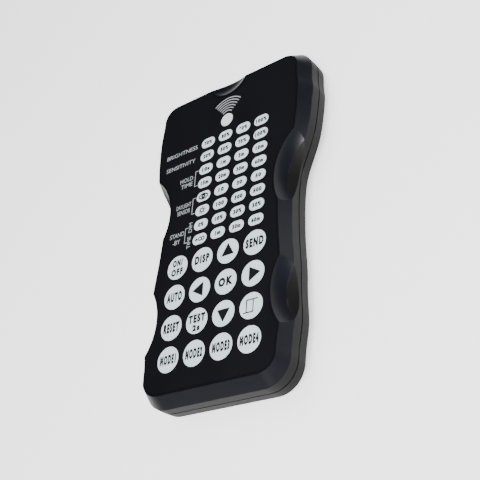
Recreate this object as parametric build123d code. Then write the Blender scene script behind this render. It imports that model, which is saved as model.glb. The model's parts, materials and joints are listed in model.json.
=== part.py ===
from build123d import *
import os

os.makedirs("parts", exist_ok=True)

# ---------------------------------------------------------------- overall sizes (mm)
LENGTH = 124.4          # along Y, bottom end to signal end
WIDTH = 69.8            # along X, at the widest place near the signal end
HALF_L = LENGTH / 2
HALF_W = WIDTH / 2

# plan outline: corner radii and the points one side passes through, as
# fractions of half the width and half the length; the third number is the share
# of the bevel's width that the side has there
FOOT_CORNER_R = 9.5
HEAD_CORNER_R = 9.0
CORNER_MIN_R = 4.5
FOOT_HALF_W = 0.834
HEAD_HALF_W = 0.983
FOOT_SHARE = 0.70
HEAD_SHARE = 1.0
SIDE_CURVE = (
    (0.862, -0.659, 0.68),
    (0.842, -0.482, 0.68),
    (0.837, -0.378, 0.68),
    (0.811, -0.209, 0.70),
    (0.795, -0.048, 0.75),
    (0.795, 0.096, 0.80),
    (0.825, 0.225, 0.65),
    (0.877, 0.314, 0.52),
    (0.946, 0.434, 0.68),
    (0.986, 0.579, 0.88),
    (1.000, 0.723, 1.00),
)

# walls
WALL = 2.2
FLOOR = 2.0
FILM = 0.4
PLATE = 1.6

# key field
BIG_D = 8.9
BIG_SPACE_X = 2.1
BIG_SPACE_Y = 2.256
BIG_PITCH_X = BIG_D + BIG_SPACE_X
BIG_PITCH_Y = BIG_D + BIG_SPACE_Y
BIG_FIRST_Y = -13.66
SMALL_W = 6.1
SMALL_H = 3.95
SMALL_SPACE_X = 1.9
SMALL_SPACE_Y = 1.784
SMALL_PITCH_X = SMALL_W + SMALL_SPACE_X
SMALL_PITCH_Y = SMALL_H + SMALL_SPACE_Y
SMALL_FIRST_X = -7.56
SMALL_FIRST_Y = 34.99
LENS_X = 0.51
LENS_Y = 41.87
LENS_D = 5.3
LENS_FLANGE_OUT = 0.5

# key plug, under the plate
KEY_FILM_GAP = 0.10
KEY_PLATE_GAP = 0.20
FLANGE_OUT = 0.45
FLANGE_T = 0.5
FLANGE_GAP = 0.05
NUB_H = 0.4
NUB_D = 2.4
KEY_TRAVEL = 0.3
DOME_GAP = KEY_TRAVEL + 0.05
DOME_H = 0.5
BIG_DOME_D = 5.0
SMALL_DOME_D = 3.8
BOARD_T = 1.2

# battery bay and two cells lying side by side
CELL_D = 10.5
CELL_L = 44.5
CELL_EDGE_R = 0.6
CELL_NUB_D = 3.8
CELL_NUB_L = 0.8
CELL_GAP = 0.6
CELL_SIDE_GAP = 0.5
CELL_END_GAP = 0.8
CELL_FLOOR_GAP = 0.35
CELL_ROOF_GAP = 0.3
SPRING_L = 4.8
SPRING_SEAT_R = 1.6
SPRING_SEAT_T = 0.3
CONTACT_T = 0.4
CONTACT_H = 8.4
CONTACT_SPLIT = 1.8
CONTACT_SIDE_GAP = 0.4
TAIL_W = 2.0
TAIL_ROOM = 0.3
BUTTON_R = 1.6
CELL_TOUCH_GAP = 0.1
BAY_HEAD_Y = 4.5
BAY_HALF_W = CELL_D + CELL_GAP / 2 + CELL_SIDE_GAP
BAY_LENGTH = CELL_L + CELL_END_GAP + SPRING_L + CELL_TOUCH_GAP + 2 * CONTACT_T
BAY_FOOT_Y = BAY_HEAD_Y - BAY_LENGTH
BAY_WALL = 1.2
BAY_ROOF = 1.05
CELL_X = (CELL_D + CELL_GAP) / 2

# battery door with a tongue along each side, and the rails it runs in
DOOR_T = 1.8
DOOR_HALF_W = BAY_HALF_W + BAY_WALL
TONGUE_OUT = 1.0
TONGUE_T = 0.8
DOOR_GAP = 0.15
DOOR_LAP = 1.5
DOOR_HEAD_Y = BAY_HEAD_Y + DOOR_LAP
DOOR_FOOT_TRIM = 0.2
RAIL_WALL = 2.1
RAIL_HALF_W = DOOR_HALF_W + TONGUE_OUT + RAIL_WALL
RAIL_T = 3.2
RAIL_LAP = 2.0
GRIP_STEPS = 4
GRIP_FIRST = 8.0
GRIP_PITCH = 2.2
GRIP_W = 1.0
GRIP_DEEP = 0.6
GRIP_HALF = 7.0
GRIP_SHRINK = 1.2
CELL_Z = DOOR_T + CELL_FLOOR_GAP + CELL_D / 2
BAY_ROOF_Z = CELL_Z + CELL_D / 2 + CELL_ROOF_GAP
BAY_TOP_Z = BAY_ROOF_Z + BAY_ROOF

# heights: everything stands on the bay, one layer on the next, up to the face
BAY_BOARD_GAP = 1.0
BOARD_Z = BAY_TOP_Z + BAY_BOARD_GAP
BOARD_TOP_Z = BOARD_Z + BOARD_T
DOME_TOP_Z = BOARD_TOP_Z + DOME_H
NUB_Z = DOME_TOP_Z + DOME_GAP
FLANGE_Z = NUB_Z + NUB_H
PLATE_Z = FLANGE_Z + FLANGE_T + FLANGE_GAP
PLATE_TOP_Z = PLATE_Z + PLATE
FACE_Z = PLATE_TOP_Z + FILM

# case edges and how far each one sits inside the widest outline
BEVEL_DEPTH = 4.5
BAND_HEIGHT = 3.45
SEAM_GAP = 0.5
REAR_BAND_HEIGHT = 3.6
BEVEL_RUN = 3.2
DRAFT = 0.1
RIM_INSET = 0.15
BACK_INSET = 8.0
BEVEL_Z = FACE_Z - BEVEL_DEPTH
FRONT_EDGE_Z = BEVEL_Z - BAND_HEIGHT
REAR_EDGE_Z = FRONT_EDGE_Z - SEAM_GAP
RIM_Z = REAR_EDGE_Z - REAR_BAND_HEIGHT

# the lip that locates the two halves
LIP_H = 1.45
LIP_Z = REAR_EDGE_Z + LIP_H
LIP_OUT = 1.1
LIP_GAP = 0.1
LIP_ROOT = 1.0

# printed film
FILM_INSET = DRAFT + 0.8
FILM_GAP = 0.12

# finger scoops: a spindle shaped tool for each side, a ball for the signal end
# each side tool: centre x and y, height over the face, radius, half length, turn
UPPER_SCOOP = (HALF_W + 1.6, 0.172 * HALF_L, 4.2, 14.0, 21.2, -10.0)
LOWER_SCOOP = (HALF_W + 1.8, -0.5145 * HALF_L, 5.1, 14.0, 20.7, 0.0)
SPINDLE_STRETCH = 1.5
HEAD_SCOOP_R = 16.2
HEAD_SCOOP_Z = FACE_Z + 13.6
HEAD_SCOOP_Y = HALF_L + 0.5
SCOOP_WALL = 1.6
SCOOP_RIM = 0.7

# screws, their sinks, posts and bosses
SCREW_D = 2.2
SCREW_LENGTH = 10.5
SCREW_HEAD_D = SCREW_D + 1.8
SCREW_HEAD_H = 1.5
SCREW_HEAD_EDGE = 0.5
SCREW_HOLE_D = SCREW_D + 0.5
SCREW_SLOT_L = 2.2
SCREW_SLOT_W = 0.5
SCREW_SLOT_DEEP = 0.7
PILOT_GAP = 0.03
PILOT_SPARE = 1.0
SINK_D = SCREW_HEAD_D + 0.8
SEAT_Z = 5.0
BOSS_D = SCREW_D + 3.0
POST_BASE_D = SINK_D + 2.2
BOSS_Z = 9.0
FOOT_SCREW_X = FOOT_HALF_W * HALF_W - 7.9
FOOT_SCREW_Y = 8.9 - HALF_L
HEAD_SCREW_X = HEAD_HALF_W * HALF_W - 10.8
HEAD_SCREW_Y = HALF_L - 13.9
SCREWS = (
    (-FOOT_SCREW_X, FOOT_SCREW_Y),
    (FOOT_SCREW_X, FOOT_SCREW_Y),
    (-HEAD_SCREW_X, HEAD_SCREW_Y),
    (HEAD_SCREW_X, HEAD_SCREW_Y),
)

# circuit board, the posts it hangs from and the notches round the bosses
BOARD_HALF_W = 19.6
BOARD_FOOT_Y = 7.7 - HALF_L
BOARD_HEAD_Y = HALF_L - 11.4
BOARD_CORNER_R = 1.5
NOTCH_GAP = 0.4
POST_D = 3.2
PIN_D = 1.4
PIN_GAP = 0.1
PIN_DROP = 0.5
POSTS = (
    (-BIG_PITCH_X, BIG_FIRST_Y - 0.5 * BIG_PITCH_Y),
    (BIG_PITCH_X, BIG_FIRST_Y - 0.5 * BIG_PITCH_Y),
    (-BIG_PITCH_X, BIG_FIRST_Y - 2.5 * BIG_PITCH_Y),
    (BIG_PITCH_X, BIG_FIRST_Y - 2.5 * BIG_PITCH_Y),
    (-16.0, 12.0),
    (-14.0, 45.0),
    (14.0, 45.0),
)

# signal window and emitters
WINDOW_HALF_W = 7.0
WINDOW_Z = REAR_EDGE_Z - 2.75
WINDOW_TOP_Z = FRONT_EDGE_Z + 0.55
WINDOW_T = WALL - 0.3
WINDOW_GAP = 0.1
WINDOW_ROOT = 0.5
WINDOW_FLANGE = 0.6
WINDOW_FLANGE_T = 1.0
EMITTER_X = 3.6
EMITTER_D = 3.0
EMITTER_RIM_D = 3.7
EMITTER_RIM_T = 0.8
EMITTER_L = 4.6
EMITTER_GAP = 0.4
LEAD = 0.5
LEAD_PITCH = 2.54 / 2
LEAD_INSET = 1.2

# how far a cutting tool runs past the surface it opens
OVER = 1.0
FAR = 200.0


# ---------------------------------------------------------------- helpers
def outline(inset, z, bevel=0.0):
    """Plan outline of the case at height z, moved inwards by inset.

    A bevel moves the ends in by its whole width and each side by its share.
    """
    foot_r = max(FOOT_CORNER_R - inset, CORNER_MIN_R)
    head_r = max(HEAD_CORNER_R - inset, CORNER_MIN_R)
    foot_x = FOOT_HALF_W * HALF_W - inset - foot_r
    foot_y = -HALF_L + inset + foot_r
    head_x = HEAD_HALF_W * HALF_W - inset - head_r
    head_y = HALF_L - inset - head_r
    foot_rx = foot_r - bevel * FOOT_SHARE
    foot_ry = foot_r - bevel
    head_rx = head_r - bevel * HEAD_SHARE
    head_ry = head_r - bevel
    side = [(foot_x + foot_rx, foot_y)]
    for across, along, share in SIDE_CURVE:
        side.append((across * HALF_W - inset - bevel * share, along * HALF_L))
    side.append((head_x + head_rx, head_y))
    mirrored = [(-x, y) for x, y in reversed(side)]
    foot_end = foot_y - foot_ry
    head_end = head_y + head_ry
    edges = [
        Line((-foot_x, foot_end), (foot_x, foot_end)),
        EllipticalCenterArc((foot_x, foot_y), foot_rx, foot_ry, 270),
        Spline(*side, tangents=((0, 1), (0, 1))),
        EllipticalCenterArc((head_x, head_y), head_rx, head_ry, 0),
        Line((head_x, head_end), (-head_x, head_end)),
        EllipticalCenterArc((-head_x, head_y), head_rx, head_ry, 90),
        Spline(*mirrored, tangents=((0, -1), (0, -1))),
        EllipticalCenterArc((-foot_x, foot_y), foot_rx, foot_ry, 180),
    ]
    return Pos(0, 0, z) * make_face(edges)


def slab(inset, z0, z1, bevel=0.0):
    """Upright walled slice of the case shape between two heights."""
    return extrude(outline(inset, z0, bevel), amount=z1 - z0)


def taper(inset0, z0, inset1, z1, bevel=0.0):
    """Slice whose outline changes evenly; a bevel counts at the upper height."""
    return loft([outline(inset0, z0), outline(inset1, z1, bevel)], ruled=True)


def block(x0, x1, y0, y1, z0, z1):
    """Box given by its limits."""
    size = Box(x1 - x0, y1 - y0, z1 - z0)
    return Pos((x0 + x1) / 2, (y0 + y1) / 2, (z0 + z1) / 2) * size


def rod(x, y, z0, z1, diameter):
    """Upright cylinder given by its ends."""
    return Pos(x, y, (z0 + z1) / 2) * Cylinder(diameter / 2, z1 - z0)


def stadium(x, y, z0, z1, width, height):
    """Upright prism with round ends."""
    face = Pos(x, y, z0) * SlotOverall(width, height)
    return extrude(face, amount=z1 - z0)


def spindle(radius, half_length):
    """Lens shaped profile turned about the Y axis."""
    chord = Line((0, half_length), (0, -half_length))
    bow = ThreePointArc((0, -half_length), (radius, 0), (0, half_length))
    return revolve(make_face([chord, bow]), Axis.Y, 360)


def scoops(grow):
    """All the finger scoop tools, each made larger by grow."""
    tools = []
    for x, y, up, radius, half_length, turn in (UPPER_SCOOP, LOWER_SCOOP):
        tool = spindle(radius + grow, half_length + SPINDLE_STRETCH * grow)
        tools.append(Pos(x, y, FACE_Z + up) * Rot(0, 0, turn) * tool)
        tools.append(Pos(-x, y, FACE_Z + up) * Rot(0, 0, -turn) * tool)
    ball = Sphere(HEAD_SCOOP_R + grow)
    tools.append(Pos(0, HEAD_SCOOP_Y, HEAD_SCOOP_Z) * ball)
    return tools


def cut(body, tools):
    """Take every tool away from a body."""
    for tool in tools:
        body = body - tool
    return body


def join(body, pieces):
    """Fuse pieces onto a body."""
    for piece in pieces:
        body = body + piece
    return body


def save(name, shape):
    """Write one named piece."""
    solids = shape.solids()
    if len(solids) == 1:
        shape = solids[0]
    else:
        shape = Compound(children=list(solids))
    shape.label = name
    export_step(shape, "parts/" + name + ".step")


# ---------------------------------------------------------------- key field
def key_places():
    """Name, kind and centre of every key."""
    rows = ["brightness_key"]
    rows.append("sensitivity_key")
    rows.extend(["hold_time_key"] * 2)
    rows.extend(["daylight_key"] * 2)
    rows.append("standby_dim_key")
    rows.append("standby_time_key")
    counts = {}
    places = []
    for row, stem in enumerate(rows):
        for column in range(4):
            counts[stem] = counts.get(stem, 0) + 1
            x = SMALL_FIRST_X + column * SMALL_PITCH_X
            y = SMALL_FIRST_Y - row * SMALL_PITCH_Y
            places.append((stem + "_" + str(counts[stem]), "small", x, y))
    names = ["power_key", "display_key", "up_key", "send_key"]
    names.extend(["auto_key", "left_key", "ok_key", "right_key"])
    names.extend(["reset_key", "test_key", "down_key", "loop_key"])
    names.extend(["mode_key_1", "mode_key_2", "mode_key_3", "mode_key_4"])
    for index, name in enumerate(names):
        x = (index % 4 - 1.5) * BIG_PITCH_X
        y = BIG_FIRST_Y - (index // 4) * BIG_PITCH_Y
        places.append((name, "big", x, y))
    return places


def key_prism(kind, x, y, z0, z1, grow):
    """Prism with the outline of a key, made larger all round by grow."""
    if kind == "big":
        return rod(x, y, z0, z1, BIG_D + 2 * grow)
    return stadium(x, y, z0, z1, SMALL_W + 2 * grow, SMALL_H + 2 * grow)


def key(kind, x, y):
    """Key plug: flat pad, holding flange and the nub that presses the dome."""
    pad = key_prism(kind, x, y, FLANGE_Z, FACE_Z, 0)
    flange = key_prism(kind, x, y, FLANGE_Z, FLANGE_Z + FLANGE_T, FLANGE_OUT)
    nub = rod(x, y, NUB_Z, FLANGE_Z, NUB_D)
    return join(pad, [flange, nub])


def lens():
    """Round light lens held by a flange against the plate."""
    stem = rod(LENS_X, LENS_Y, FLANGE_Z, FACE_Z, LENS_D)
    flange = rod(LENS_X, LENS_Y, FLANGE_Z, PLATE_Z, LENS_D + 2 * LENS_FLANGE_OUT)
    return stem + flange


def dome(x, y, diameter):
    """Shallow snap dome standing on the board."""
    half = diameter / 2
    ball_r = (half * half + DOME_H * DOME_H) / (2 * DOME_H)
    ball = Pos(x, y, DOME_TOP_Z - ball_r) * Sphere(ball_r)
    room = block(x - half, x + half, y - half, y + half, BOARD_TOP_Z, DOME_TOP_Z)
    return ball & room


# ---------------------------------------------------------------- case halves
def front_shell():
    """Upper half: plate, bevel, skirt, key holes, bosses and board posts."""
    body = taper(DRAFT, BEVEL_Z, DRAFT, FACE_Z, BEVEL_RUN)
    body = body + taper(0, FRONT_EDGE_Z, DRAFT, BEVEL_Z)
    room = slab(WALL, FRONT_EDGE_Z, BEVEL_Z)
    room = room + taper(WALL, BEVEL_Z, WALL, PLATE_Z, BEVEL_RUN)
    room = cut(room, scoops(SCOOP_WALL))
    body = body - room
    body = body - slab(LIP_OUT - LIP_GAP, FRONT_EDGE_Z, LIP_Z)
    pocket = slab(FILM_INSET - FILM_GAP, PLATE_TOP_Z, FACE_Z, BEVEL_RUN)
    pocket = cut(pocket, scoops(SCOOP_RIM - FILM_GAP))
    body = cut(body - pocket, scoops(0))
    for name, kind, x, y in key_places():
        body = body - key_prism(kind, x, y, PLATE_Z, FACE_Z, KEY_PLATE_GAP)
    body = body - rod(LENS_X, LENS_Y, PLATE_Z, FACE_Z, LENS_D + 2 * KEY_PLATE_GAP)
    for x, y in SCREWS:
        body = body + rod(x, y, BOSS_Z, PLATE_Z, BOSS_D)
        pilot_d = SCREW_D + 2 * PILOT_GAP
        body = body - rod(x, y, BOSS_Z, SEAT_Z + SCREW_LENGTH + PILOT_SPARE, pilot_d)
    for x, y in POSTS:
        body = body + rod(x, y, BOARD_TOP_Z, PLATE_Z, POST_D)
        body = body + rod(x, y, BOARD_Z - PIN_DROP, BOARD_TOP_Z, PIN_D)
    return body - window_hole()


def window_hole():
    """Opening for the signal window, shared by both halves."""
    half = WINDOW_HALF_W + WINDOW_GAP
    low = WINDOW_Z - WINDOW_GAP
    high = WINDOW_TOP_Z + WINDOW_GAP
    hole = block(-half, half, HALF_L - 3 * WALL, HALF_L + OVER, low, high)
    half = half + WINDOW_FLANGE
    low = low - WINDOW_FLANGE
    high = high + WINDOW_FLANGE
    inner = HALF_L - WALL
    return hole + block(-half, half, inner - 3 * WALL, inner, low, high)


def rear_room():
    """Hollow of the lower half."""
    room = slab(WALL, RIM_Z, REAR_EDGE_Z + OVER)
    slope = BACK_INSET * FLOOR / RIM_Z
    return room + taper(BACK_INSET + WALL - slope, FLOOR, WALL, RIM_Z)


def door_room():
    """Space the battery door slides through, from its head end outwards."""
    head = DOOR_HEAD_Y + DOOR_GAP
    half = DOOR_HALF_W + DOOR_GAP
    wide = half + TONGUE_OUT
    top = DOOR_T + DOOR_GAP
    low = DOOR_T - TONGUE_T - DOOR_GAP
    room = block(-half, half, -FAR, head, -OVER, top)
    return room + block(-wide, wide, -FAR, head, low, top)


def rear_shell():
    """Lower half: floor, slope, skirt, battery bay, rails and screw posts."""
    outer = taper(BACK_INSET, 0, RIM_INSET, RIM_Z)
    outer = outer + taper(RIM_INSET, RIM_Z, 0, REAR_EDGE_Z)
    body = outer - rear_room()
    rail_head = DOOR_HEAD_Y + RAIL_LAP
    extra = block(-RAIL_HALF_W, RAIL_HALF_W, -HALF_L, rail_head, 0, RAIL_T)
    bay_x = BAY_HALF_W + BAY_WALL
    bay_y0 = BAY_FOOT_Y - BAY_WALL
    bay_y1 = BAY_HEAD_Y + BAY_WALL
    bay = block(-bay_x, bay_x, bay_y0, bay_y1, FLOOR, BAY_TOP_Z)
    posts = []
    for x, y in SCREWS:
        posts.append(rod(x, y, 0, BOSS_Z, POST_BASE_D))
    inside = join(extra, posts) & outer
    body = join(body, [inside, bay])
    root = REAR_EDGE_Z - LIP_ROOT
    body = body + (slab(LIP_OUT, root, LIP_Z) - slab(WALL, root, LIP_Z))
    body = body - door_room()
    half = BAY_HALF_W
    body = body - block(-half, half, BAY_FOOT_Y, BAY_HEAD_Y, DOOR_T - OVER, BAY_ROOF_Z)
    for side in (-1, 1):
        near = side * CELL_X - TAIL_W / 2 - TAIL_ROOM
        far = side * CELL_X + TAIL_W / 2 + TAIL_ROOM
        end = BAY_FOOT_Y + CONTACT_T + TAIL_ROOM
        low = BAY_ROOF_Z - OVER
        body = body - block(near, far, BAY_FOOT_Y, end, low, BAY_TOP_Z + OVER)
    for x, y in SCREWS:
        body = body - rod(x, y, SEAT_Z, BOSS_Z, SCREW_HOLE_D)
        body = body - rod(x, y, -OVER, SEAT_Z, SINK_D)
    return body - window_hole()


def battery_door():
    """Sliding door: plate that ends on the case slope, tongues and a grip."""
    outer = taper(BACK_INSET + DOOR_FOOT_TRIM, 0, RIM_INSET + DOOR_FOOT_TRIM, RIM_Z)
    plate = block(-DOOR_HALF_W, DOOR_HALF_W, -HALF_L, DOOR_HEAD_Y, 0, DOOR_T)
    wide = DOOR_HALF_W + TONGUE_OUT
    tongues = block(-wide, wide, -HALF_L, DOOR_HEAD_Y, DOOR_T - TONGUE_T, DOOR_T)
    body = (plate + tongues) & outer
    for step in range(GRIP_STEPS):
        y = DOOR_HEAD_Y - GRIP_FIRST - GRIP_PITCH * step
        half = GRIP_HALF - GRIP_SHRINK * step
        body = body - block(-half, half, y - GRIP_W / 2, y + GRIP_W / 2, -OVER, GRIP_DEEP)
    return body


# ---------------------------------------------------------------- inside pieces
def face_film():
    """Printed film in its pocket, with an opening for each key and the lens."""
    body = slab(FILM_INSET, PLATE_TOP_Z, FACE_Z, BEVEL_RUN)
    body = cut(body, scoops(SCOOP_RIM))
    for name, kind, x, y in key_places():
        body = body - key_prism(kind, x, y, PLATE_TOP_Z, FACE_Z, KEY_FILM_GAP)
    return body - rod(LENS_X, LENS_Y, PLATE_TOP_Z, FACE_Z, LENS_D + 2 * KEY_FILM_GAP)


def circuit_board():
    """Board with a hole for each post pin and a notch round each boss."""
    width = 2 * BOARD_HALF_W
    height = BOARD_HEAD_Y - BOARD_FOOT_Y
    centre = (BOARD_HEAD_Y + BOARD_FOOT_Y) / 2
    face = Pos(0, centre, BOARD_Z) * RectangleRounded(width, height, BOARD_CORNER_R)
    body = extrude(face, amount=BOARD_T)
    for x, y in POSTS:
        body = body - rod(x, y, BOARD_Z, BOARD_TOP_Z, PIN_D + 2 * PIN_GAP)
    for x, y in SCREWS:
        body = body - rod(x, y, BOARD_Z, BOARD_TOP_Z, BOSS_D + 2 * NOTCH_GAP)
    return body


def emitter(x):
    """Round nosed emitter pointing out of the signal end, with bent leads."""
    z = (WINDOW_Z + WINDOW_TOP_Z) / 2
    nose_y = HALF_L - WALL - WINDOW_FLANGE_T - EMITTER_GAP
    base_y = nose_y - EMITTER_L
    straight = EMITTER_L - EMITTER_D / 2
    along = Rot(-90, 0, 0)
    can = Pos(x, base_y + straight / 2, z) * along * Cylinder(EMITTER_D / 2, straight)
    nose = Pos(x, base_y + straight, z) * Sphere(EMITTER_D / 2)
    rim_y = base_y + EMITTER_RIM_T / 2
    rim = Pos(x, rim_y, z) * along * Cylinder(EMITTER_RIM_D / 2, EMITTER_RIM_T)
    body = join(can, [nose, rim])
    lead_y = BOARD_HEAD_Y - LEAD_INSET
    for side in (-1, 1):
        lx = x + side * LEAD_PITCH
        x0 = lx - LEAD / 2
        x1 = lx + LEAD / 2
        body = body + block(x0, x1, lead_y, rim_y, z - LEAD / 2, z + LEAD / 2)
        body = body + block(x0, x1, lead_y, lead_y + LEAD, z - LEAD / 2, BOARD_Z)
    return body


def signal_window():
    """Dark window plate with a flange behind the end wall."""
    inner = HALF_L - WALL
    half = WINDOW_HALF_W
    body = block(-half, half, inner - WINDOW_ROOT, inner + WINDOW_T, WINDOW_Z, WINDOW_TOP_Z)
    half = half + WINDOW_FLANGE
    low = WINDOW_Z - WINDOW_FLANGE
    high = WINDOW_TOP_Z + WINDOW_FLANGE
    return body + block(-half, half, inner - WINDOW_FLANGE_T, inner, low, high)


def contacts():
    """Bridge plate at the head of the bay and two tailed plates at its foot.

    Each has a button for a cell's cap or a low seat for a coil.
    """
    tall = CONTACT_H / 2
    half = BAY_HALF_W - CONTACT_SIDE_GAP
    head = BAY_HEAD_Y - CONTACT_T
    z0 = CELL_Z - tall
    z1 = CELL_Z + tall
    bridge = block(-half, half, head, BAY_HEAD_Y, z0, z1)
    foot = BAY_FOOT_Y + CONTACT_T
    plates = []
    for side in (-1, 1):
        inner = side * CONTACT_SPLIT / 2
        outer = side * half
        x0 = min(inner, outer)
        x1 = max(inner, outer)
        plate = block(x0, x1, BAY_FOOT_Y, foot, z0, z1)
        mid = side * CELL_X
        near = mid - TAIL_W / 2
        far = mid + TAIL_W / 2
        plate = plate + block(near, far, BAY_FOOT_Y, foot, CELL_Z, BOARD_Z)
        plates.append(plate)
    along = Rot(-90, 0, 0)
    rise = CELL_END_GAP - CELL_TOUCH_GAP
    bump = Cylinder(BUTTON_R, rise)
    half_bump = rise / 2
    bridge = bridge + Pos(CELL_X, head - half_bump, CELL_Z) * along * bump
    plates[0] = plates[0] + Pos(-CELL_X, foot + half_bump, CELL_Z) * along * bump
    seat = Cylinder(SPRING_SEAT_R, SPRING_SEAT_T)
    half_seat = SPRING_SEAT_T / 2
    plates[1] = plates[1] + Pos(CELL_X, foot + half_seat, CELL_Z) * along * seat
    bridge = bridge + Pos(-CELL_X, head - half_seat, CELL_Z) * along * seat
    return [bridge, plates[0], plates[1]]


def cell(side):
    """One cylindrical cell, button towards +Y, turned round on the other side."""
    radius = CELL_D / 2
    straight = CELL_L - CELL_NUB_L
    can = Cylinder(radius, straight)
    can = fillet(can.edges().filter_by(GeomType.CIRCLE), CELL_EDGE_R)
    button = Pos(0, 0, straight / 2 + CELL_NUB_L / 2) * Cylinder(CELL_NUB_D / 2, CELL_NUB_L)
    body = can + button
    tip = BAY_HEAD_Y - CONTACT_T - CELL_END_GAP
    middle = tip - CELL_NUB_L - straight / 2
    if side > 0:
        return Pos(CELL_X, middle, CELL_Z) * Rot(-90, 0, 0) * body
    tip = BAY_FOOT_Y + CONTACT_T + CELL_END_GAP
    middle = tip + CELL_NUB_L + straight / 2
    return Pos(-CELL_X, middle, CELL_Z) * Rot(90, 0, 0) * body


def screw(x, y):
    """Pan headed screw standing head down in its sink."""
    head = rod(x, y, SEAT_Z - SCREW_HEAD_H, SEAT_Z, SCREW_HEAD_D)
    edge = head.edges().filter_by(GeomType.CIRCLE).sort_by(Axis.Z)[0]
    head = fillet(edge, SCREW_HEAD_EDGE)
    shank = rod(x, y, SEAT_Z, SEAT_Z + SCREW_LENGTH, SCREW_D)
    body = head + shank
    for turn in (0, 90):
        slot = Box(SCREW_SLOT_L, SCREW_SLOT_W, 2 * SCREW_SLOT_DEEP)
        body = body - Pos(x, y, SEAT_Z - SCREW_HEAD_H) * Rot(0, 0, turn) * slot
    return body


# ---------------------------------------------------------------- write every piece
save("front_shell", front_shell())
save("rear_shell", rear_shell())
save("battery_door", battery_door())
save("face_overlay", face_film())
save("circuit_board", circuit_board())
save("indicator_lens", lens())
save("signal_window", signal_window())
save("signal_emitters", Compound(children=[emitter(-EMITTER_X), emitter(EMITTER_X)]))
save("battery_contacts", Compound(children=contacts()))
save("batteries", Compound(children=[cell(-1), cell(1)]))
save("housing_screws", Compound(children=[screw(x, y) for x, y in SCREWS]))

domes = []
for name, kind, x, y in key_places():
    save(name, key(kind, x, y))
    if kind == "big":
        domes.append(dome(x, y, BIG_DOME_D))
    else:
        domes.append(dome(x, y, SMALL_DOME_D))
save("snap_domes", Compound(children=domes))
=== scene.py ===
# %% [markdown]
# # A handheld setting remote
# The object is a waisted black case a little shorter than a hand, with a printed
# face full of pale press keys. The solid parts come ready made as a fixed frame.
# This lesson adds what a frame can't carry: the printing, the coils, the parts
# on the board, and a finish for every surface.

import json
import math
import random

import bmesh
import bpy
from mathutils import Matrix, Vector

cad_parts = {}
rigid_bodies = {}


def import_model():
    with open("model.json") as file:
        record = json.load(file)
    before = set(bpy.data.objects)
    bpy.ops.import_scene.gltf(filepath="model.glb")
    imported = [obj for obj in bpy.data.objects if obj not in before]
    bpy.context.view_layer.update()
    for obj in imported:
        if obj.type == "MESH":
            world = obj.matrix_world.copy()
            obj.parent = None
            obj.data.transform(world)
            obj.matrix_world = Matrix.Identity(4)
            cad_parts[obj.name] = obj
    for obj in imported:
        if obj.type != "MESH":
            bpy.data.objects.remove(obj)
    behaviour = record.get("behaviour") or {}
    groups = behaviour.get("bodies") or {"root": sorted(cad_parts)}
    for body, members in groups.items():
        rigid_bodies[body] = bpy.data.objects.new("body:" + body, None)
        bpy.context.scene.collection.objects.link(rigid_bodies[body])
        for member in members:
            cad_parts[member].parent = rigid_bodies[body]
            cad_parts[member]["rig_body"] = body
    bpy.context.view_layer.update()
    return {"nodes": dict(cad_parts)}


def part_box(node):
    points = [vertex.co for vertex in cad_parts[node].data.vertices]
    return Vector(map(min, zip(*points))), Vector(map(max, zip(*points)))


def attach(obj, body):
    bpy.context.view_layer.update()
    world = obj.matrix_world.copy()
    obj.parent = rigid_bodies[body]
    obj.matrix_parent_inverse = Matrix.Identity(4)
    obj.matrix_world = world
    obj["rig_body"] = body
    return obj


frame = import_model()
nodes = frame["nodes"]
chance = random.Random(7)

# %% [markdown]
# Sizes here are written in millimetres, as a maker would measure them, and
# turned into metres in one place. The height of the printed face is read from
# the film itself, so the ink always lands on it. The bevel, the seam and the rim
# are measured down from there.

# %% Units and the heights that everything is placed by
MM = 0.001
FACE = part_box("face_overlay")[1].z
BOARD_LOW, BOARD_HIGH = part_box("circuit_board")
BEVEL_DEPTH = 4.5 * MM
FRONT_BAND = 3.45 * MM
SEAM_GAP = 0.5 * MM
REAR_BAND = 3.6 * MM
BEVEL = FACE - BEVEL_DEPTH
SEAM_TOP = BEVEL - FRONT_BAND
SEAM_FOOT = SEAM_TOP - SEAM_GAP
RIM = SEAM_FOOT - REAR_BAND
heights = [round(z / MM, 2) for z in (FACE, BEVEL, SEAM_TOP, SEAM_FOOT, RIM, BOARD_HIGH.z)]
print("face, bevel foot, seam, seam foot, rim and board top at", heights, "mm")

# %% [markdown]
# ## Camera
# A long lens from the lower right of the face, looking down at about 42
# degrees. The camera is turned about its own axis, so the remote leans to the
# left as it would when held.

# %% Camera
camera_data = bpy.data.cameras.new("camera")
camera_data.lens = 65.27
camera_data.sensor_width = 36.0
camera_data.clip_start = 0.01
camera = bpy.data.objects.new("camera", camera_data)
camera.location = (0.16859, -0.14951, 0.20809)
camera.rotation_euler = [math.radians(a) for a in (32.0212, 38.1438, 4.1655)]
bpy.context.scene.collection.objects.link(camera)
bpy.context.scene.camera = camera
print("camera", [round(v, 4) for v in camera.location])

# %% [markdown]
# ## Lights
# Black plastic shows its shape only by what it reflects. One soft panel on the
# camera's side puts the pale gleam into the finger scoops and the corner. A wide
# panel high overhead and a weak one beyond the foot fill in the rest, and the
# air itself is nearly dark, so the flat face stays black.

# %% Lights
def soft_panel(name, place, aim, size, power):
    """A square area light at place, facing aim."""
    data = bpy.data.lights.new(name, "AREA")
    data.shape = "SQUARE"
    data.size = size
    data.energy = power
    light = bpy.data.objects.new(name, data)
    look = Vector(aim) - Vector(place)
    light.rotation_euler = look.to_track_quat("-Z", "Y").to_euler()
    light.location = place
    bpy.context.scene.collection.objects.link(light)
    return light


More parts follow.
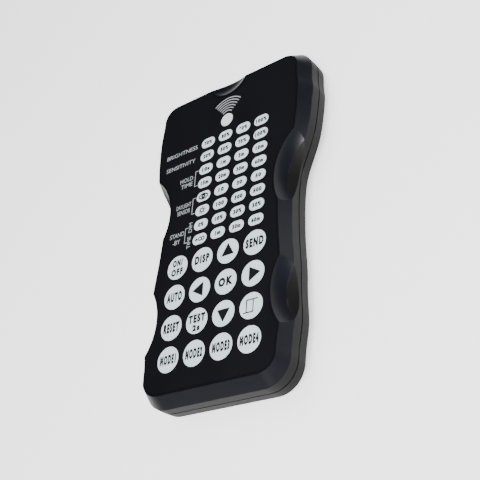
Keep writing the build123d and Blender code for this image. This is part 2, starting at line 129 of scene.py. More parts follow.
soft_panel("panel_key", (0.46, -0.58, 0.83), (0, 0, 0), 0.34, 28.0)
soft_panel("panel_top", (0.15, 0.1, 1.3), (0, 0, 0), 0.9, 10.0)
soft_panel("panel_foot", (-0.1, -1.2, 0.45), (0, 0, 0), 0.6, 3.5)
air = bpy.data.worlds.new("air")
air.use_nodes = True
air.node_tree.nodes["Background"].inputs["Color"].default_value = (0.9, 0.95, 1.0, 1)
air.node_tree.nodes["Background"].inputs["Strength"].default_value = 0.03
bpy.context.scene.world = air
print("three panels and a nearly dark sky")

# %% [markdown]
# ## Writing finishes as sums
# A finish is a small sum: this much grain, times that mask, plus a little
# cloud. The class below wraps one socket of a material and answers to Python's
# own operators, so such a sum can be written as one line and read again later.

# %% Sockets that can be added and multiplied
class Signal:
    """A value on a surface, as the output socket of a node."""

    def __init__(self, tree, socket):
        self.tree = tree
        self.socket = socket

    def sum(self, operation, first, second, clamp=False):
        made = self.tree.nodes.new("ShaderNodeMath")
        made.operation = operation
        made.use_clamp = clamp
        for socket, value in zip(made.inputs, (first, second)):
            if isinstance(value, Signal):
                self.tree.links.new(value.socket, socket)
            else:
                socket.default_value = value
        return Signal(self.tree, made.outputs[0])

    def __add__(self, other):
        return self.sum("ADD", self, other)

    def __sub__(self, other):
        return self.sum("SUBTRACT", self, other)

    def __rsub__(self, other):
        return self.sum("SUBTRACT", other, self)

    def __mul__(self, other):
        return self.sum("MULTIPLY", self, other)

    def __abs__(self):
        return self.sum("ABSOLUTE", self, 0.0)

    def clamped(self):
        return self.sum("ADD", self, 0.0, clamp=True)

    __radd__ = __add__
    __rmul__ = __mul__


# %% A finish: one shader and one way to add any node
class Finish:
    """One material. Constants go on the shader, sums come from node()."""

    def __init__(self, name, **constants):
        self.material = bpy.data.materials.new(name)
        self.material.use_nodes = True
        self.tree = self.material.node_tree
        self.shader = self.tree.nodes["Principled BSDF"]
        for key, value in constants.items():
            self.shader.inputs[key.replace("_", " ")].default_value = value
        self.place = self.node("ShaderNodeTexCoord", out="Object")

    def node(self, kind, settings=None, values=None, out=0):
        made = self.tree.nodes.new(kind)
        for key, value in (settings or {}).items():
            if key == "stops":
                for element, (at, colour) in zip(made.color_ramp.elements, value):
                    element.position = at
                    element.color = colour
            else:
                setattr(made, key, value)
        for key, value in (values or {}).items():
            self.feed(made.inputs[key], value)
        return Signal(self.tree, made.outputs[out])

    def feed(self, socket, value):
        if isinstance(value, Signal):
            self.tree.links.new(value.socket, socket)
        else:
            socket.default_value = value

    def drive(self, **signals):
        for key, value in signals.items():
            self.feed(self.shader.inputs[key.replace("_", " ")], value)
        return self

    def noise(self, size, detail=2.0, stretch=None):
        """Soft random pattern whose blotches are about size millimetres wide."""
        where = self.place
        if stretch:
            scaled = {"vector_type": "POINT"}
            where = self.node("ShaderNodeMapping", scaled, {0: where, "Scale": stretch})
        values = {"Vector": where, "Scale": 0.5 / (size * MM), "Detail": detail}
        return self.node("ShaderNodeTexNoise", None, values)

    def axis(self, name):
        """Position along X, Y or Z in metres."""
        return self.node("ShaderNodeSeparateXYZ", None, {0: self.place}, out=name)

    def blend(self, share, first, second):
        """Colour that goes from first to second with share."""
        settings = {"data_type": "RGBA"}
        return self.node("ShaderNodeMix", settings, {0: share, 6: first, 7: second}, out=2)

    def relief(self, height, depth, strength):
        """Bump of a height pattern; depth in millimetres."""
        values = {"Height": height, "Distance": depth * MM, "Strength": strength}
        return self.node("ShaderNodeBump", None, values)


def band(signal, low, high):
    """0 below low, 1 above high, straight in between."""
    return ((signal - low) * (1.0 / (high - low))).clamped()


def line_near(signal, where, reach):
    """1 on one height, falling to 0 at reach on each side."""
    return (1.0 - abs(signal - where) * (1.0 / reach)).clamped()


print("finish tools ready")

# %% [markdown]
# ## The case finish
# Each half is one moulding of black plastic. The bevel round the face is
# polished, with a painted blue reflection in its colour; the side walls below
# it carry a fine spark texture, which scatters light and looks a warm grey.
# Both finishes are on the same moulding, so one material holds both and a mask by height picks
# one.
# Edges that meet a table or a palm get the first scuffs, so wear follows the
# heights of those edges.

# %% Case finishes
WEAR_REACH = 0.28 * MM
POLISH_STEP = 0.05 * MM
# A metre up, far above the case, so that nothing below it is polished and none of it gets the
# painted blue reflection.
ABOVE_ALL = 1.0


def case_finish(name, polish_and_reflection_above, edges):
    """Moulded black plastic, polished and given a painted blue reflection above one height, and
    textured below.
    """
    f = Finish(name, IOR=1.45, Coat_Roughness=0.24, Specular_IOR_Level=0.13)
    height = f.axis("Z")
    polish_and_reflection = band(height, polish_and_reflection_above - POLISH_STEP, polish_and_reflection_above + POLISH_STEP)
    cloud = f.noise(14.0, 3.0)
    grain = f.noise(0.16, 2.0)
    coarse = f.noise(0.5, 2.0)
    scratch = band(f.noise(0.35, 4.0, (1.0, 0.06, 1.0)), 0.66, 0.74)
    worn = line_near(height, edges[0], WEAR_REACH)
    for edge in edges[1:]:
        worn = (worn + line_near(height, edge, WEAR_REACH)).clamped()
    worn = worn * band(f.noise(2.6, 4.0), 0.50, 0.68)
    wall = f.blend(cloud, (0.0034, 0.0033, 0.0036, 1), (0.0052, 0.0050, 0.0054, 1))
    # painted reflection: the polished bevel's colour is tinted blue, standing in for a reflection;
    # the bevel mask picks it
    painted_blue_reflection = f.blend(cloud, (0.0024, 0.0029, 0.0050, 1), (0.0038, 0.0044, 0.0070, 1))
    colour = f.blend(polish_and_reflection, wall, painted_blue_reflection)
    colour = f.blend(worn * 0.40, colour, (0.040, 0.039, 0.040, 1))
    rough = 0.46 - 0.14 * polish_and_reflection + 0.10 * cloud + 0.10 * grain + 0.10 * worn
    rough = rough + 0.06 * scratch * polish_and_reflection
    texture = (grain * 0.7 + coarse * 0.3) * (1.0 - 0.72 * polish_and_reflection)
    f.drive(Base_Color=colour, Roughness=rough, Coat_Weight=0.01 + 0.08 * polish_and_reflection)
    f.drive(Normal=f.relief(texture, 0.035, 0.55))
    return f.material


case_front = case_finish("case_front", BEVEL, (BEVEL, SEAM_TOP))
case_rear = case_finish("case_rear", ABOVE_ALL, (SEAM_FOOT, RIM))
print("case finishes", case_front.name, case_rear.name)

# %% [markdown]
# ## The film and the keys
# The face is a sheet of polycarbonate printed from behind, with a velvet
# texture in front. The key areas are the same film over a pale ink, and the
# texture breaks the pale ink up into fine specks. Fingers polish the middle of a
# key, so its roughness drops there in blotches.

# %% Film and key finishes
def film_finish():
    f = Finish("printed_film", IOR=1.46, Coat_Roughness=0.35, Specular_IOR_Level=0.20)
    cloud = f.noise(22.0, 3.0)
    velvet = f.noise(0.14, 2.0)
    smear = band(f.noise(7.0, 4.0, (1.0, 0.45, 1.0)), 0.52, 0.70)
    dust = band(f.noise(0.22, 1.0), 0.80, 0.84)
    colour = f.blend(cloud, (0.0022, 0.0022, 0.0034, 1), (0.0036, 0.0035, 0.0050, 1))
    colour = f.blend(dust * 0.35, colour, (0.09, 0.09, 0.10, 1))
    rough = 0.44 + 0.10 * velvet + 0.05 * cloud - 0.07 * smear
    f.drive(Base_Color=colour, Roughness=rough, Coat_Weight=0.05 * smear)
    f.drive(Normal=f.relief(velvet, 0.02, 0.5))
    return f.material


def key_finish():
    f = Finish("key_area", IOR=1.46)
    speck = f.noise(0.20, 2.0)
    cloud = f.noise(5.0, 3.0)
    touch = band(f.noise(3.0, 3.0), 0.50, 0.70)
    colour = f.blend(speck, (0.48, 0.58, 0.63, 1), (0.74, 0.83, 0.87, 1))
    colour = f.blend(cloud * 0.25, colour, (0.58, 0.64, 0.68, 1))
    colour = f.blend(touch * 0.10, colour, (0.46, 0.48, 0.48, 1))
    rough = 0.50 + 0.12 * speck - 0.10 * touch
    f.drive(Base_Color=colour, Roughness=rough, Normal=f.relief(speck, 0.02, 0.5))
    return f.material


def ink_finish(name, dark, light, rough):
    f = Finish(name, IOR=1.46, Specular_IOR_Level=0.2)
    grain = f.noise(0.12, 2.0)
    cloud = f.noise(2.4, 3.0)
    share = 0.6 * cloud + 0.4 * grain
    f.drive(Base_Color=f.blend(share, dark, light), Roughness=rough + 0.15 * grain)
    f.drive(Normal=f.relief(grain, 0.01, 0.4))
    return f.material


film = film_finish()
key_area = key_finish()
dark_ink = ink_finish("dark_ink", (0.0020, 0.0022, 0.0030, 1), (0.0050, 0.0052, 0.0066, 1), 0.55)
pale_ink = ink_finish("pale_ink", (0.27, 0.29, 0.31, 1), (0.42, 0.45, 0.47, 1), 0.42)
print("film, keys and two inks")

# %% [markdown]
# ## Inside finishes
# The board, domes, contacts, cells and screws are hidden until the door slides
# away or the case is taken apart, but each is a real material: solder mask over
# copper tracks, brushed steel, nickel, a printed sleeve.

# %% Board, metal, cell and lens finishes
BARE_EDGE = 19.25 * MM
EDGE_FADE = 0.2 * MM


def board_finish():
    f = Finish("solder_mask", IOR=1.5, Coat_Roughness=0.2)
    across = f.axis("X")
    settings = {"wave_type": "BANDS", "bands_direction": "X"}
    values = {"Vector": f.place, "Scale": 190.0, "Distortion": 3.0, "Detail": 0.0}
    wave = f.node("ShaderNodeTexWave", settings, values)
    track = band(wave, 0.74, 0.80)
    weave = f.noise(0.3, 2.0)
    mask = f.blend(weave, (0.010, 0.085, 0.032, 1), (0.016, 0.120, 0.046, 1))
    copper = (0.030, 0.175, 0.060, 1)
    colour = f.blend(track * 0.8, mask, copper)
    edge = band(abs(across), BARE_EDGE, BARE_EDGE + EDGE_FADE)
    colour = f.blend(edge, colour, (0.30, 0.24, 0.12, 1))
    f.drive(Base_Color=colour, Roughness=0.30 + 0.12 * weave, Coat_Weight=0.25 * (1.0 - edge))
    f.drive(Normal=f.relief(track + 0.2 * weave, 0.03, 0.6))
    return f.material


def metal_finish(name, dark, light, rough, stretch):
    f = Finish(name, Metallic=1.0)
    brush = f.noise(0.12, 3.0, stretch)
    cloud = f.noise(3.0, 3.0)
    stain = band(cloud, 0.58, 0.74)
    colour = f.blend(brush, dark, light)
    colour = f.blend(stain * 0.30, colour, (0.36, 0.34, 0.31, 1))
    f.drive(Base_Color=colour, Roughness=rough + 0.16 * brush + 0.12 * stain)
    f.drive(Normal=f.relief(brush, 0.012, 0.5))
    return f.material


def cell_finish():
    """Printed sleeve: bare metal at the cap, then a pale band and a thin stripe."""
    f = Finish("cell_sleeve", IOR=1.5, Coat_Roughness=0.12)
    low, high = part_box("batteries")
    cap = 1.0 * MM
    band_middle, band_reach = 7.5 * MM, 5.0 * MM
    stripe_middle, stripe_reach = 14.2 * MM, 0.6 * MM
    along = f.axis("Y")
    across = f.axis("X")
    side = band(across, -0.1 * MM, 0.1 * MM)
    from_cap = (high.y - along) * side + (along - low.y) * (1.0 - side)
    grain = f.noise(0.25, 2.0)
    bare = 1.0 - band(from_cap, cap, cap + 0.1 * MM)
    pale = line_near(from_cap, band_middle, band_reach)
    pale = band(pale, 0.02, 0.06)
    stripe = band(line_near(from_cap, stripe_middle, stripe_reach), 0.02, 0.1)
    sleeve = f.blend(grain, (0.014, 0.030, 0.060, 1), (0.022, 0.042, 0.080, 1))
    colour = f.blend((pale + stripe).clamped(), sleeve, (0.46, 0.47, 0.46, 1))
    colour = f.blend(bare, colour, (0.62, 0.61, 0.58, 1))
    f.drive(Base_Color=colour, Metallic=0.35 + 0.65 * bare, Roughness=0.26 + 0.12 * grain)
    f.drive(Coat_Weight=0.4 * (1.0 - bare), Normal=f.relief(grain, 0.01, 0.4))
    return f.material


def clear_finish(name, dark, light, rough, sheen, shine=0.5):
    """Smooth tinted plastic with a slight haze."""
    f = Finish(name, IOR=1.55, Coat_Roughness=0.05, Specular_IOR_Level=shine)
    cloud = f.noise(3.5, 3.0)
    haze = f.noise(0.3, 2.0)
    f.drive(Base_Color=f.blend(cloud, dark, light), Roughness=rough + 0.08 * haze)
    f.drive(Coat_Weight=sheen + 0.05 * cloud, Normal=f.relief(haze, 0.008, 0.4))
    return f.material


board = board_finish()
dome_steel = metal_finish(
    "dome_steel", (0.52, 0.51, 0.49, 1), (0.68, 0.67, 0.65, 1), 0.22, (1, 0.1, 1)
)
nickel = metal_finish("nickel", (0.60, 0.59, 0.56, 1), (0.76, 0.75, 0.72, 1), 0.16, (1, 1, 0.1))
zinc = metal_finish("zinc", (0.34, 0.34, 0.35, 1), (0.52, 0.52, 0.53, 1), 0.30, (1, 1, 0.2))
cell = cell_finish()
lens = clear_finish("lens", (0.60, 0.66, 0.68, 1), (0.72, 0.77, 0.79, 1), 0.34, 0.2)
window = clear_finish(
    "dark_window", (0.010, 0.003, 0.006, 1), (0.020, 0.005, 0.010, 1), 0.16, 0.0, 0.22
)
emitter = clear_finish("emitter", (0.060, 0.075, 0.120, 1), (0.110, 0.130, 0.190, 1), 0.05, 0.7)
print("inside finishes done")

# %% [markdown]
# ## Dressing the solid pieces
# Each solid piece of the frame gets one finish, which can still change over the
# piece, as it does along a cell. A line of code per piece would do as well, but
# a table shows at a glance which pieces share a finish. The keys all share one.

# %% Give every solid piece its finish
def dress(name, material):
    """Put one finish on a solid piece of the frame."""
    slots = nodes[name].data.materials
    slots.clear()
    slots.append(material)


finishes = {
    "front_shell": case_front,
    "rear_shell": case_rear,
    "battery_door": case_rear,
    "face_overlay": film,
    "circuit_board": board,
    "snap_domes": dome_steel,
    "battery_contacts": nickel,
    "batteries": cell,
    "housing_screws": zinc,
    "indicator_lens": lens,
    "signal_window": window,
    "signal_emitters": emitter,
}
key_names = sorted(name for name in nodes if "_key" in name)
for name in key_names:
    finishes[name] = key_area
for name, material in finishes.items():
    dress(name, material)
print("dressed", len(finishes), "pieces,", len(key_names), "of them keys")

# %% [markdown]
# ## Making pieces
# A finished piece has its place in its mesh and its object at the origin, like
# the frame's own pieces. The helper below turns the faces of a bmesh outwards,
# hands it to an object, gives it a finish and sets it riding on a body.

# %% From bmesh to a riding piece
def keep(shape, name, body, material, smooth=False):
    """Turn a finished bmesh into a piece that rides on a body."""
    bmesh.ops.recalc_face_normals(shape, faces=shape.faces)
    for face in shape.faces:
        face.smooth = smooth
    mesh = bpy.data.meshes.new(name)
    shape.to_mesh(mesh)
    shape.free()
    mesh.materials.append(material)
    piece = bpy.data.objects.new(name, mesh)
    bpy.context.scene.collection.objects.link(piece)
    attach(piece, body)
    return piece


def absorb(shape, part):
    """Copy one bmesh into another."""
    carrier = bpy.data.meshes.new("carrier")
    part.to_mesh(carrier)
    part.free()
    shape.from_mesh(carrier)
    bpy.data.meshes.remove(carrier)


def body_of(name):
    """The body that a solid piece belongs to."""
    return nodes[name]["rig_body"]


print("piece helpers ready")

# %% [markdown]
# ## Ink that has a thickness
# On a real face of this kind the ink lies behind the film. Here each mark is a
# thin solid that stands two hundredths of a millimetre proud, so that it is a
# piece with a finish of its own. Letters come from a font curve that is made a
# mesh first, then stretched to the width and height of the printed word. Bars
# and arcs come from small bmesh shapes, because they need no font.

# %% Marks: letters, bars and arcs
INK = 0.035 * MM
SUNK = 0.015 * MM


def letters(shape, text, width, height, x, y, turn=0.0, weight=-0.002, spacing=1.0):
    """Add a word, width by height millimetres, centred on x and y.

    A higher weight thickens the strokes, and spacing spreads the letters.
    """
    curve = bpy.data.curves.new("word", "FONT")
    curve.body = text
    curve.resolution_u = 3
    curve.extrude = 0.5
    curve.offset = weight
    curve.space_character = spacing
    holder = bpy.data.objects.new("word", curve)
    bpy.context.scene.collection.objects.link(holder)
    bpy.context.view_layer.update()
    graph = bpy.context.evaluated_depsgraph_get()
    mesh = bpy.data.meshes.new_from_object(holder.evaluated_get(graph))
    bpy.data.objects.remove(holder)
    bpy.data.curves.remove(curve)
    word = bmesh.new()
    word.from_mesh(mesh)
    bpy.data.meshes.remove(mesh)
    low = Vector([min(v.co[i] for v in word.verts) for i in range(3)])
    high = Vector([max(v.co[i] for v in word.verts) for i in range(3)])
    size = high - low
    middle = (low + high) / 2
    scale = (width * MM / size.x, height * MM / size.y, INK / size.z)
    bmesh.ops.translate(word, verts=word.verts, vec=-middle)
    bmesh.ops.scale(word, verts=word.verts, vec=scale)
    settle(word, x, y, turn)
    bmesh.ops.remove_doubles(word, verts=word.verts, dist=0.002 * MM)
    absorb(shape, word)


def settle(part, x, y, turn=0.0):
    """Turn a flat mark and set it on the face at x and y millimetres."""
    spin = Matrix.Rotation(math.radians(turn), 4, "Z")
    place = Matrix.Translation((x * MM, y * MM, FACE - SUNK + INK / 2))
    bmesh.ops.transform(part, matrix=place @ spin, verts=part.verts)


def bar(shape, x0, y0, x1, y1, thick):
    """Add a straight stroke from one point to another."""
    run = Vector(((x1 - x0) * MM, (y1 - y0) * MM))
    part = bmesh.new()
    bmesh.ops.create_cube(part, size=1.0)
    bmesh.ops.scale(part, verts=part.verts, vec=(run.length, thick * MM, INK))
    settle(part, (x0 + x1) / 2, (y0 + y1) / 2, math.degrees(math.atan2(run.y, run.x)))
    absorb(shape, part)


def arc(shape, x, y, radius, thick, start, sweep, steps):
    """Add a curved stroke by spinning its cross-section."""
    part = bmesh.new()
    inner = (radius - thick / 2) * MM
    outer = (radius + thick / 2) * MM
    corners = [(inner, -INK / 2), (outer, -INK / 2), (outer, INK / 2), (inner, INK / 2)]
    ring = [part.verts.new((across, 0, up)) for across, up in corners]
    profile = part.faces.new(ring)
    bmesh.ops.rotate(
        part, verts=part.verts, cent=(0, 0, 0), matrix=Matrix.Rotation(math.radians(start), 3, "Z")
    )
    whole = abs(sweep) >= 360
    geometry = [profile] + list(profile.edges) + list(profile.verts)
    bmesh.ops.spin(
        part,
        geom=geometry,
        cent=(0, 0, 0),
        axis=(0, 0, 1),
        angle=math.radians(sweep),
        steps=steps,
        use_merge=whole,
        use_duplicate=False,
    )
    if whole:
        inside = [face for face in part.faces if is_cap(face)]
        bmesh.ops.delete(part, geom=inside, context="FACES_ONLY")
    settle(part, x, y)
    absorb(shape, part)


def is_cap(face):
    """True for a cross-section face left across the stroke of a closed ring."""
    middle = face.calc_center_median()
    out = Vector((middle.x, middle.y, 0)).normalized()
    upright = abs(face.normal.z) < 0.1
    return len(face.verts) == 4 and upright and abs(face.normal.dot(out)) < 0.1


print("ink is", round(INK / MM, 3), "mm thick")

# %% [markdown]
# ## Key legends
# Small keys carry values, round keys carry words and arrows. Each legend rides
# on its own key, so it goes down with it. The words are plain settings any such
# remote has.

# %% Where each key is, and what it says
def centre(name):
    """Centre of a key in millimetres."""
    low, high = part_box(name)
    return (low.x + high.x) / 2 / MM, (low.y + high.y) / 2 / MM


SMALL_WORDS = {
    "brightness_key": ["70%", "80%", "90%", "100%"],
    "sensitivity_key": ["20%", "50%", "75%", "100%"],
    "hold_time_key": ["10s", "1m", "5m", "10m", "15m", "20m", "30m", "60m"],
    "daylight_key": [None, "10", "30", "50", None, "100", "300", "500"],
    "standby_dim_key": ["0%", "10%", "30%", "50%"],
    "standby_time_key": [None, "1m", "30m", "60m"],
}
SMALL_WIDTH = {1: 1.3, 2: 2.4, 3: 3.5, 4: 4.6}
SMALL_HEIGHT = 1.75
SMALL_STYLE = {"weight": 0.068, "spacing": 1.28}
BIG_STYLE = {"weight": 0.066, "spacing": 1.32}
# Each line of a key: the word, its width and height, and how far above the centre.
BIG_WORDS = {
    "power_key": [("ON/", 4.5, 2.7, 1.75), ("OFF", 5.2, 2.7, -1.75)],
    "display_key": [("DISP", 6.3, 3.2, 0.2)],
    "send_key": [("SEND", 7.2, 3.4, 0.1)],
    "auto_key": [("AUTO", 6.7, 3.5, 0.0)],
    "ok_key": [("OK", 5.9, 3.3, 0.1)],
    "reset_key": [("RESET", 6.7, 3.5, 0.0)],
    "test_key": [("TEST", 7.0, 3.0, 0.9), ("2s", 3.1, 2.2, -2.4)],
    "mode_key_1": [("MODE1", 6.8, 3.4, 0.0)],
    "mode_key_2": [("MODE2", 7.0, 3.4, 0.0)],
    "mode_key_3": [("MODE3", 7.0, 3.4, 0.0)],
    "mode_key_4": [("MODE4", 7.2, 3.4, 0.0)],
}
print(len(SMALL_WORDS), "rows of values,", len(BIG_WORDS), "worded round keys")

# %% Values on the small keys
def eye(shape, x, y):
    """An open eye: two lids and an iris with a clear pupil."""
    for start in (38.0, 218.0):
        offset = 1.55 if start < 180 else -1.55
        arc(shape, x, y - offset, 2.60, 0.50, start, 104.0, 14)
    arc(shape, x, y, 0.56, 0.68, 0.0, 360.0, 20)


def sun(shape, x, y):
    """A ring with eight rays."""
    arc(shape, x, y, 0.72, 0.44, 0.0, 360.0, 20)
    for ray in range(8):
        way = math.radians(45.0 * ray)
        c, s = math.cos(way), math.sin(way)
        bar(shape, x + 1.05 * c, y + 1.05 * s, x + 1.5 * c, y + 1.5 * s, 0.34)


def endless(shape, x, y):
    """A plus sign and a lying eight."""
    bar(shape, x - 2.1, y, x - 0.75, y, 0.42)
    bar(shape, x - 1.45, y - 0.65, x - 1.45, y + 0.65, 0.42)
    arc(shape, x + 0.25, y, 0.62, 0.42, 0.0, 360.0, 18)
    arc(shape, x + 1.45, y, 0.62, 0.42, 0.0, 360.0, 18)


SYMBOLS = {"daylight_key_1": eye, "daylight_key_5": sun, "standby_time_key_1": endless}
for stem, words in SMALL_WORDS.items():
    for number, word in enumerate(words, 1):
        name = stem + "_" + str(number)
        x, y = centre(name)
        marks = bmesh.new()
        if word:
            letters(marks, word, SMALL_WIDTH[len(word)], SMALL_HEIGHT, x, y, **SMALL_STYLE)
        else:
            SYMBOLS[name](marks, x, y)
        keep(marks, name + "_legend", body_of(name), dark_ink)
print("small legends printed")

# %% Words and arrows on the round keys
def arrow(shape, x, y, turn):
    """A filled triangle with even sides; without a turn it points up."""
    reach = 3.0 * MM
    part = bmesh.new()
    bmesh.ops.create_cone(
        part, cap_ends=True, segments=3, radius1=reach, radius2=reach, depth=INK
    )
    settle(part, x, y, turn)
    absorb(shape, part)


def switching_loop(shape, x, y):
    """The loop drawn for a switch with two thresholds."""
    half = 2.1
    thick = 0.40
    bar(shape, x - 2.9, y - half, x + 0.95, y - half, thick)
    bar(shape, x - 1.95, y + half, x + 2.5, y + half, thick)
    bar(shape, x - 1.8, y - half, x - 1.8, y + half, thick)
    bar(shape, x + 0.8, y - half, x + 0.8, y + half, thick)


ARROWS = {"up_key": 0.0, "right_key": -90.0, "down_key": 180.0, "left_key": 90.0}
for name in key_names:
    marks = bmesh.new()
    x, y = centre(name)
    if name in BIG_WORDS:
        for word, width, height, above in BIG_WORDS[name]:
            letters(marks, word, width, height, x, y + above, **BIG_STYLE)
    elif name in ARROWS:
        arrow(marks, x, y, ARROWS[name])
    elif name == "loop_key":
        switching_loop(marks, x, y)
    else:
        marks.free()
        continue
    keep(marks, name + "_legend", body_of(name), dark_ink)
print("round legends printed")

# %% [markdown]
# ## Row labels
# To the left of the small keys the film says what each row sets. Thin brackets
# join two rows to one label, and six arcs over the lamp stand for the signal.

# %% Labels, brackets and signal arcs on the film
# The word, its width and height, where its centre is, and its turn in degrees.
LABELS = [
    ("BRIGHTNESS", 14.9, 1.75, -20.1, 35.0, 0.0),
    ("SENSITIVITY", 14.0, 1.75, -20.2, 29.3, 0.0),
    ("HOLD", 6.0, 1.75, -16.4, 21.9, 0.0),
    ("TIME", 5.4, 1.75, -16.1, 19.4, 0.0),
    ("DAYLIGHT", 6.9, 1.75, -16.5, 10.8, 0.0),
    ("SENSOR", 5.9, 1.75, -16.3, 8.3, 0.0),
    ("STAND", 6.6, 1.75, -18.3, -0.6, 0.0),
    ("-BY", 3.4, 1.75, -18.3, -3.4, 0.0),
    ("DIM", 3.9, 1.5, -12.25, 0.75, 90.0),
    ("TIME", 4.7, 1.5, -12.45, -5.1, 90.0),
]
# Where each bracket stands across the film, and its upper and lower end.
BRACKETS = [(-12.3, 23.9, 17.6), (-12.3, 12.4, 6.1), (-14.5, 0.9, -4.9)]
BRACKET_THICK = 0.24
BRACKET_ARM = 1.3
marks = bmesh.new()
for word, width, height, x, y, turn in LABELS:
    letters(marks, word, width, height, x, y, turn)
for x, high, low in BRACKETS:
    bar(marks, x, low, x, high, BRACKET_THICK)
    for y in (high, low):
        bar(marks, x - BRACKET_THICK / 2, y, x + BRACKET_ARM, y, BRACKET_THICK)
lens_x, lens_y = centre("indicator_lens")
for ring in range(6):
    arc(marks, lens_x, lens_y + 1.1, 3.0 + 1.14 * ring, 0.34, 48.0, 84.0, 22)
keep(marks, "film_legends", body_of("face_overlay"), pale_ink)
print(len(LABELS), "labels and", len(BRACKETS), "brackets printed")

# %% [markdown]
# ## Coil springs
# One end of each cell is pushed by a cone of nickel wire. A spin with a rise in
# each step sweeps the wire's round section into a coil, and pulling the turns
# in towards the tip makes the cone.

# %% Coils
def coil(name, x, base_y, way, z, rise):
    """Cone shaped coil from base_y, growing along Y in the direction of way."""
    wire_radius = 0.25
    turns = 3.5
    base = 3.6
    tip = 2.3
    steps = int(turns * 26)
    shape = bmesh.new()
    made = bmesh.ops.create_circle(shape, cap_ends=True, segments=10, radius=wire_radius * MM)
    bmesh.ops.rotate(
        shape, verts=made["verts"], cent=(0, 0, 0), matrix=Matrix.Rotation(math.pi / 2, 3, "X")
    )
    bmesh.ops.translate(shape, verts=made["verts"], vec=(base * MM, 0, 0))
    geometry = list(shape.faces) + list(shape.edges) + list(shape.verts)
    bmesh.ops.spin(
        shape,
        geom=geometry,
        cent=(0, 0, 0),
        axis=(0, 0, 1),
        dvec=(0, 0, rise * MM / steps),
        angle=turns * math.tau,
        steps=steps,
    )
    for vert in shape.verts:
        along = min(max(vert.co.z / (rise * MM), 0.0), 1.0)
        wide = math.hypot(vert.co.x, vert.co.y)
        pull = (wide - (base - tip) * MM * along) / wide
        vert.co.x *= pull
        vert.co.y *= pull
    lean = Matrix.Rotation(-math.pi / 2 * way, 4, "X")
    place = Matrix.Translation((x * MM, base_y * MM, z * MM))
    bmesh.ops.transform(shape, matrix=place @ lean, verts=shape.verts)
    return keep(shape, name, body_of("battery_contacts"), nickel, True)


contact_low, contact_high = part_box("battery_contacts")
cell_low, cell_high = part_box("batteries")
CELL_RADIUS = 5.25
COIL_RISE = 3.9
COIL_START = 0.75
cell_x = (cell_high.x - CELL_RADIUS * MM) / MM
cell_z = (cell_low.z + cell_high.z) / 2 / MM
coil("coil_foot", cell_x, contact_low.y / MM + COIL_START, 1, cell_z, COIL_RISE)
coil("coil_head", -cell_x, contact_high.y / MM - COIL_START, -1, cell_z, COIL_RISE)
print("coils on the cells' flat ends")

# %% [markdown]
# ## Parts on the board
# Under the board sit a controller, its timing crystal, a driver transistor for
# the emitters and a few chips of ceramic. The lamp is on top, under the lens.
# Small bevelled blocks are enough for all of them, and for their flat leads.

# %% Blocks and chips
def block(shape, low, high, edge):
    """Add a block between two corners, bevelled by edge, all in millimetres."""
    part = bmesh.new()
    bmesh.ops.create_cube(part, size=1.0)
    size = [(b - a) * MM for a, b in zip(low, high)]
    middle = [(a + b) / 2 * MM for a, b in zip(low, high)]
    bmesh.ops.scale(part, verts=part.verts, vec=size)
    bmesh.ops.translate(part, verts=part.verts, vec=middle)
    bmesh.ops.bevel(
        part,
        geom=list(part.edges),
        offset=edge * MM,
        affect="EDGES",
        segments=2,
        profile=0.5,
        material=-1,
    )
    absorb(shape, part)


def resin_finish():
    f = Finish("chip_resin", IOR=1.5)
    grain = f.noise(0.15, 3.0)
    colour = f.blend(grain, (0.010, 0.010, 0.011, 1), (0.024, 0.024, 0.025, 1))
    f.drive(Base_Color=colour, Roughness=0.48 + 0.2 * grain, Normal=f.relief(grain, 0.02, 0.6))
    return f.material


resin = resin_finish()
ceramic = ink_finish("chip_ceramic", (0.34, 0.24, 0.15, 1), (0.50, 0.38, 0.25, 1), 0.38)
under = BOARD_LOW.z / MM
top = BOARD_HIGH.z / MM
board_body = body_of("circuit_board")

chip = bmesh.new()
block(chip, (-5.0, 22.0, under - 1.75), (5.0, 29.5, under - 0.15), 0.25)
block(chip, (9.5, 37.0, under - 1.2), (12.5, 38.6, under - 0.15), 0.15)
keep(chip, "controller_chips", board_body, resin)

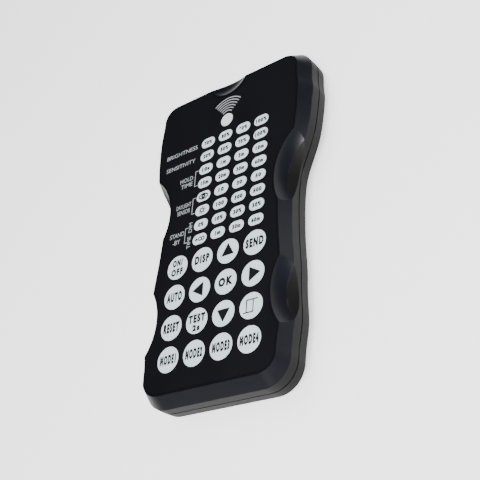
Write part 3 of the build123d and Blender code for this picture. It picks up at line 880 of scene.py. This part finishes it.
CHIP_Y = 25.75
FIRST_LEAD = -4.45
LEAD_PITCH = 1.27
leads = bmesh.new()
for side in (-1, 1):
    for step in range(8):
        x = FIRST_LEAD + LEAD_PITCH * step
        near = CHIP_Y + side * 3.6
        far = CHIP_Y + side * 5.0
        a, b = min(near, far), max(near, far)
        block(leads, (x - 0.2, a, under - 0.3), (x + 0.2, b, under - 0.02), 0.05)
for x in (9.9, 11.0, 12.1):
    block(leads, (x - 0.2, 36.2, under - 0.25), (x + 0.2, 37.1, under - 0.02), 0.05)
block(leads, (-13.5, 24.0, under - 2.2), (-10.5, 33.0, under - 0.1), 0.7)
keep(leads, "chip_leads_and_crystal", board_body, nickel)

small = bmesh.new()
for number in range(12):
    x = -15.0 + 6.0 * (number % 6) + chance.uniform(-0.4, 0.4)
    y = 13.5 if number < 6 else 33.0
    if abs(x) < 16.0 and not (-14.5 < x < -9.5 and y > 20):
        block(small, (x - 1.0, y - 0.6, under - 0.8), (x + 1.0, y + 0.6, under - 0.02), 0.1)
keep(small, "ceramic_parts", board_body, ceramic)
print("parts under the board")

# %% The lamp under the lens
lamp = bmesh.new()
block(lamp, (lens_x - 0.8, lens_y - 0.6, top), (lens_x + 0.8, lens_y + 0.6, top + 0.5), 0.12)
keep(lamp, "lamp_chip", board_body, lens)
print("lamp at", round(lens_x, 2), round(lens_y, 2))

# %% [markdown]
# ## Floor
# A plain pale sheet under the remote. It gives off light of its own, so that it
# stays pale where the panels don't reach. It isn't part of the object.

# %% Floor
def floor_finish():
    f = Finish("pale_sheet", Emission_Strength=1.1)
    f.shader.inputs["Emission Color"].default_value = (1, 1, 1, 1)
    cloud = f.noise(60.0, 3.0)
    grain = f.noise(0.6, 2.0)
    f.drive(Base_Color=f.blend(cloud, (0.84, 0.84, 0.84, 1), (0.88, 0.88, 0.88, 1)))
    f.drive(Roughness=0.75 + 0.1 * grain, Normal=f.relief(grain, 0.02, 0.2))
    return f.material


FLOOR_HALF = 3.0
FLOOR_DROP = 0.02 * MM
sheet = bmesh.new()
bmesh.ops.create_grid(sheet, x_segments=1, y_segments=1, size=FLOOR_HALF)
bmesh.ops.translate(sheet, verts=sheet.verts, vec=(0, 0, -FLOOR_DROP))
mesh = bpy.data.meshes.new("floor")
sheet.to_mesh(mesh)
sheet.free()
mesh.materials.append(floor_finish())
floor = bpy.data.objects.new("floor", mesh)
bpy.context.scene.collection.objects.link(floor)
print("floor laid")

# %% [markdown]
# ## Last: finish

# %% Finish
print("done")
